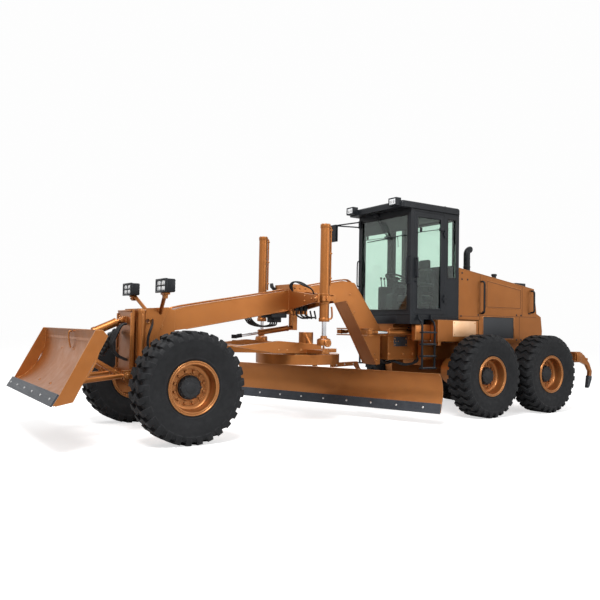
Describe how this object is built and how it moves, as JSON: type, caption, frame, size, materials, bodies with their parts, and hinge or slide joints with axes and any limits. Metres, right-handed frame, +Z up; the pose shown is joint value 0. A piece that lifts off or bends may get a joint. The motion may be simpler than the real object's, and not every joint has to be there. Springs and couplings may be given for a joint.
{
  "type": "motor grader",
  "caption": "Articulated motor grader with tandem drive, a circle-mounted blade, a front scoop on a vertical carriage and a rear ripper.",
  "frame": {"origin": "on the level ground, on the centreline, straight below the articulation pin", "axes": "+X forward, +Y to the machine's left, +Z up"},
  "size_m": [10.189, 3.7264, 3.585],
  "materials": {
    "body_paint": "satin",
    "black_paint": "satin",
    "dark_metal": "worn",
    "chrome": "polished",
    "tyre": "matt",
    "glass": "clear",
    "cast": "rough",
    "interior": "matt",
    "lamp": "clear"
  },
  "bodies": {
    "rear_frame": {"rear_frame": "body_paint", "side_boxes": "body_paint", "tandem_axle": "body_paint", "engine_block": "cast", "hood": "body_paint", "engine_grilles": "black_paint", "ladders_rails_exhaust": "black_paint", "cab_shell": "black_paint", "cab_roof": "black_paint", "cab_windows": "glass", "cab_interior": "interior"},
    "door_left": {"door_left": "black_paint", "door_glass_left": "glass"},
    "door_right": {"door_right": "black_paint", "door_glass_right": "glass"},
    "ripper": {"ripper": "body_paint"},
    "ripper_barrel": {"ripper_barrel": "body_paint"},
    "ripper_rod": {"ripper_rod": "chrome"},
    "front_frame": {"front_frame": "body_paint", "headlamps": "lamp", "front_axle": "body_paint"},
    "drawbar_ball": {"drawbar_ball": "dark_metal"},
    "drawbar": {"drawbar": "body_paint"},
    "circle": {"circle": "body_paint"},
    "blade_carrier": {"blade_carrier": "body_paint"},
    "blade": {"moldboard": "body_paint", "cutting_edge": "dark_metal"},
    "centre_shift_barrel": {"centre_shift_barrel": "body_paint"},
    "centre_shift_rod": {"centre_shift_rod": "chrome"},
    "scoop_carriage": {"scoop_carriage": "body_paint"},
    "scoop": {"scoop": "body_paint", "scoop_edge": "dark_metal"},
    "scoop_tilt_barrel": {"scoop_tilt_barrel": "body_paint"},
    "scoop_tilt_rod": {"scoop_tilt_rod": "chrome"},
    "articulation_barrel_left": {"articulation_barrel_left": "body_paint"},
    "articulation_rod_left": {"articulation_rod_left": "chrome"},
    "lean_bracket_left": {"lean_bracket_left": "body_paint"},
    "knuckle_left": {"knuckle_left": "body_paint"},
    "lift_yoke_left": {"lift_yoke_left": "body_paint"},
    "lift_barrel_left": {"lift_barrel_left": "body_paint"},
    "lift_rod_left": {"lift_rod_left": "chrome"},
    "articulation_barrel_right": {"articulation_barrel_right": "body_paint"},
    "articulation_rod_right": {"articulation_rod_right": "chrome"},
    "lean_bracket_right": {"lean_bracket_right": "body_paint"},
    "knuckle_right": {"knuckle_right": "body_paint"},
    "lift_yoke_right": {"lift_yoke_right": "body_paint"},
    "lift_barrel_right": {"lift_barrel_right": "body_paint"},
    "lift_rod_right": {"lift_rod_right": "chrome"},
    "wheel_front_left": {"rim_front_left": "body_paint", "tyre_front_left": "tyre"},
    "wheel_front_right": {"rim_front_right": "body_paint", "tyre_front_right": "tyre"},
    "wheel_mid_left": {"rim_mid_left": "body_paint", "tyre_mid_left": "tyre"},
    "wheel_mid_right": {"rim_mid_right": "body_paint", "tyre_mid_right": "tyre"},
    "wheel_rear_left": {"rim_rear_left": "body_paint", "tyre_rear_left": "tyre"},
    "wheel_rear_right": {"rim_rear_right": "body_paint", "tyre_rear_right": "tyre"}
  },
  "joints": [
    {"name": "articulation", "type": "hinge", "parent": "rear_frame", "child": "front_frame", "pos_m": [0, 0, 1.14], "axis": [0, 0, -1], "range_deg": [-25, 25]},
    {"name": "articulation_barrel_left", "type": "hinge", "parent": "rear_frame", "child": "articulation_barrel_left", "pos_m": [-0.56, 0.4, 1.392], "axis": [0, 0, -1], "range_deg": [-12, 12]},
    {"name": "articulation_rod_left", "type": "slide", "parent": "articulation_barrel_left", "child": "articulation_rod_left", "axis": [1, 0, 0], "range_m": [-0.175, 0.175]},
    {"name": "articulation_barrel_right", "type": "hinge", "parent": "rear_frame", "child": "articulation_barrel_right", "pos_m": [-0.56, -0.4, 1.392], "axis": [0, 0, -1], "range_deg": [-12, 12]},
    {"name": "articulation_rod_right", "type": "slide", "parent": "articulation_barrel_right", "child": "articulation_rod_right", "axis": [1, 0, 0], "range_m": [-0.175, 0.175]},
    {"name": "drawbar_swing", "type": "hinge", "parent": "front_frame", "child": "drawbar_ball", "pos_m": [3.49, 0, 1.11], "axis": [0, 0, -1], "range_deg": [-7, 7]},
    {"name": "drawbar_lift", "type": "hinge", "parent": "drawbar_ball", "child": "drawbar", "pos_m": [3.49, 0, 1.11], "axis": [0, -1, 0], "range_deg": [-5, 12.5]},
    {"name": "lift_yoke_left", "type": "hinge", "parent": "front_frame", "child": "lift_yoke_left", "pos_m": [1.71, 0.89, 1.87], "axis": [1, 0, 0], "range_deg": [-20, 20]},
    {"name": "lift_barrel_left", "type": "hinge", "parent": "lift_yoke_left", "child": "lift_barrel_left", "pos_m": [1.71, 0.89, 1.87], "axis": [0, 1, 0], "range_deg": [-10, 10]},
    {"name": "lift_rod_left", "type": "slide", "parent": "lift_barrel_left", "child": "lift_rod_left", "axis": [0, 0, -1], "range_m": [-0.158, 0.391]},
    {"name": "lift_yoke_right", "type": "hinge", "parent": "front_frame", "child": "lift_yoke_right", "pos_m": [1.71, -0.89, 1.87], "axis": [1, 0, 0], "range_deg": [-20, 20]},
    {"name": "lift_barrel_right", "type": "hinge", "parent": "lift_yoke_right", "child": "lift_barrel_right", "pos_m": [1.71, -0.89, 1.87], "axis": [0, 1, 0], "range_deg": [-10, 10]},
    {"name": "lift_rod_right", "type": "slide", "parent": "lift_barrel_right", "child": "lift_rod_right", "axis": [0, 0, -1], "range_m": [-0.158, 0.391]},
    {"name": "centre_shift_barrel", "type": "hinge", "parent": "front_frame", "child": "centre_shift_barrel", "pos_m": [1.57, -0.15, 1.45], "axis": [0, 1, 0], "range_deg": [-7, 16]},
    {"name": "centre_shift_rod", "type": "slide", "parent": "centre_shift_barrel", "child": "centre_shift_rod", "axis": [0.9163, -0.3623, -0.1705], "range_m": [-0.104, 0.104]},
    {"name": "circle_turn", "type": "hinge", "parent": "drawbar", "child": "circle", "pos_m": [1.57, 0, 0.975], "axis": [0, 0, -1], "range_deg": [-48, 92]},
    {"name": "blade_pitch", "type": "hinge", "parent": "circle", "child": "blade_carrier", "pos_m": [0.47592, -0.44204, 0.4], "axis": [-0.3746, 0.9272, 0], "range_deg": [-5, 40]},
    {"name": "side_shift", "type": "slide", "parent": "blade_carrier", "child": "blade", "axis": [-0.3746, 0.9272, 0], "range_m": [-0.45, 0.45]},
    {"name": "wheel_lean_left", "type": "hinge", "parent": "front_frame", "child": "lean_bracket_left", "pos_m": [3.87, 0.56, 0.694], "axis": [-1, 0, 0], "range_deg": [-15, 15]},
    {"name": "steering_left", "type": "hinge", "parent": "lean_bracket_left", "child": "knuckle_left", "pos_m": [3.87, 0.8, 0.694], "axis": [0, 0, 1], "range_deg": [-35, 35]},
    {"name": "wheel_front_left", "type": "hinge", "parent": "knuckle_left", "child": "wheel_front_left", "pos_m": [3.87, 1.06, 0.694], "axis": [0, 1, 0], "continuous": true},
    {"name": "wheel_mid_left", "type": "hinge", "parent": "rear_frame", "child": "wheel_mid_left", "pos_m": [-1.499, 1.06, 0.694], "axis": [0, 1, 0], "continuous": true},
    {"name": "wheel_rear_left", "type": "hinge", "parent": "rear_frame", "child": "wheel_rear_left", "pos_m": [-3.071, 1.06, 0.694], "axis": [0, 1, 0], "continuous": true},
    {"name": "door_left", "type": "hinge", "parent": "rear_frame", "child": "door_left", "pos_m": [-0.925, 0.694, 2.55], "axis": [0, 0, 1], "range_deg": [0, 90]},
    {"name": "wheel_lean_right", "type": "hinge", "parent": "front_frame", "child": "lean_bracket_right", "pos_m": [3.87, -0.56, 0.694], "axis": [-1, 0, 0], "range_deg": [-15, 15]},
    {"name": "steering_right", "type": "hinge", "parent": "lean_bracket_right", "child": "knuckle_right", "pos_m": [3.87, -0.8, 0.694], "axis": [0, 0, 1], "range_deg": [-35, 35]},
    {"name": "wheel_front_right", "type": "hinge", "parent": "knuckle_right", "child": "wheel_front_right", "pos_m": [3.87, -1.06, 0.694], "axis": [0, 1, 0], "continuous": true},
    {"name": "wheel_mid_right", "type": "hinge", "parent": "rear_frame", "child": "wheel_mid_right", "pos_m": [-1.499, -1.06, 0.694], "axis": [0, 1, 0], "continuous": true},
    {"name": "wheel_rear_right", "type": "hinge", "parent": "rear_frame", "child": "wheel_rear_right", "pos_m": [-3.071, -1.06, 0.694], "axis": [0, 1, 0], "continuous": true},
    {"name": "door_right", "type": "hinge", "parent": "rear_frame", "child": "door_right", "pos_m": [-0.925, -0.694, 2.55], "axis": [0, 0, -1], "range_deg": [0, 90]},
    {"name": "scoop_lift", "type": "slide", "parent": "front_frame", "child": "scoop_carriage", "axis": [0, 0, 1], "range_m": [-0.55, 0.1]},
    {"name": "scoop_tilt", "type": "hinge", "parent": "scoop_carriage", "child": "scoop", "pos_m": [4.39, 0, 0.8], "axis": [0, 1, 0], "range_deg": [-5, 20]},
    {"name": "scoop_tilt_barrel", "type": "hinge", "parent": "scoop_carriage", "child": "scoop_tilt_barrel", "pos_m": [4.385, 0, 1.505], "axis": [0, 1, 0], "range_deg": [-3, 10]},
    {"name": "scoop_tilt_rod", "type": "slide", "parent": "scoop_tilt_barrel", "child": "scoop_tilt_rod", "axis": [0.9142, 0, -0.4053], "range_m": [-0.059, 0.227]},
    {"name": "ripper_lift", "type": "hinge", "parent": "rear_frame", "child": "ripper", "pos_m": [-3.75, 0, 0.84], "axis": [0, 1, 0], "range_deg": [-28, 5]},
    {"name": "ripper_barrel", "type": "hinge", "parent": "rear_frame", "child": "ripper_barrel", "pos_m": [-3.778, 0, 1.18], "axis": [0, 1, 0], "range_deg": [-25, 5]},
    {"name": "ripper_rod", "type": "slide", "parent": "ripper_barrel", "child": "ripper_rod", "axis": [-0.9943, 0, -0.1069], "range_m": [-0.032, 0.169]}
  ],
  "couplings": [
    {"joint": "articulation_barrel_left", "follows": "articulation", "ratio": 0.45},
    {"joint": "articulation_rod_left", "follows": "articulation", "m_per_rad": 0.395},
    {"joint": "articulation_barrel_right", "follows": "articulation", "ratio": 0.45},
    {"joint": "articulation_rod_right", "follows": "articulation", "m_per_rad": -0.395},
    {"joint": "lift_yoke_left", "follows": "drawbar_swing", "ratio": 2.697},
    {"joint": "lift_barrel_left", "follows": "drawbar_swing", "ratio": -1.348},
    {"joint": "lift_rod_left", "follows": "drawbar_lift", "m_per_rad": 1.78},
    {"joint": "lift_yoke_right", "follows": "drawbar_swing", "ratio": 2.697},
    {"joint": "lift_barrel_right", "follows": "drawbar_swing", "ratio": 1.348},
    {"joint": "lift_rod_right", "follows": "drawbar_lift", "m_per_rad": 1.78},
    {"joint": "centre_shift_barrel", "follows": "drawbar_lift", "ratio": 1.233},
    {"joint": "centre_shift_rod", "follows": "drawbar_swing", "m_per_rad": -0.833},
    {"joint": "wheel_lean_right", "follows": "wheel_lean_left", "ratio": 1},
    {"joint": "steering_right", "follows": "steering_left", "ratio": 1},
    {"joint": "scoop_tilt_barrel", "follows": "scoop_tilt", "ratio": 0.453},
    {"joint": "scoop_tilt_rod", "follows": "scoop_tilt", "m_per_rad": 0.642},
    {"joint": "ripper_barrel", "follows": "ripper_lift", "ratio": 0.86},
    {"joint": "ripper_rod", "follows": "ripper_lift", "m_per_rad": -0.341}
  ]
}
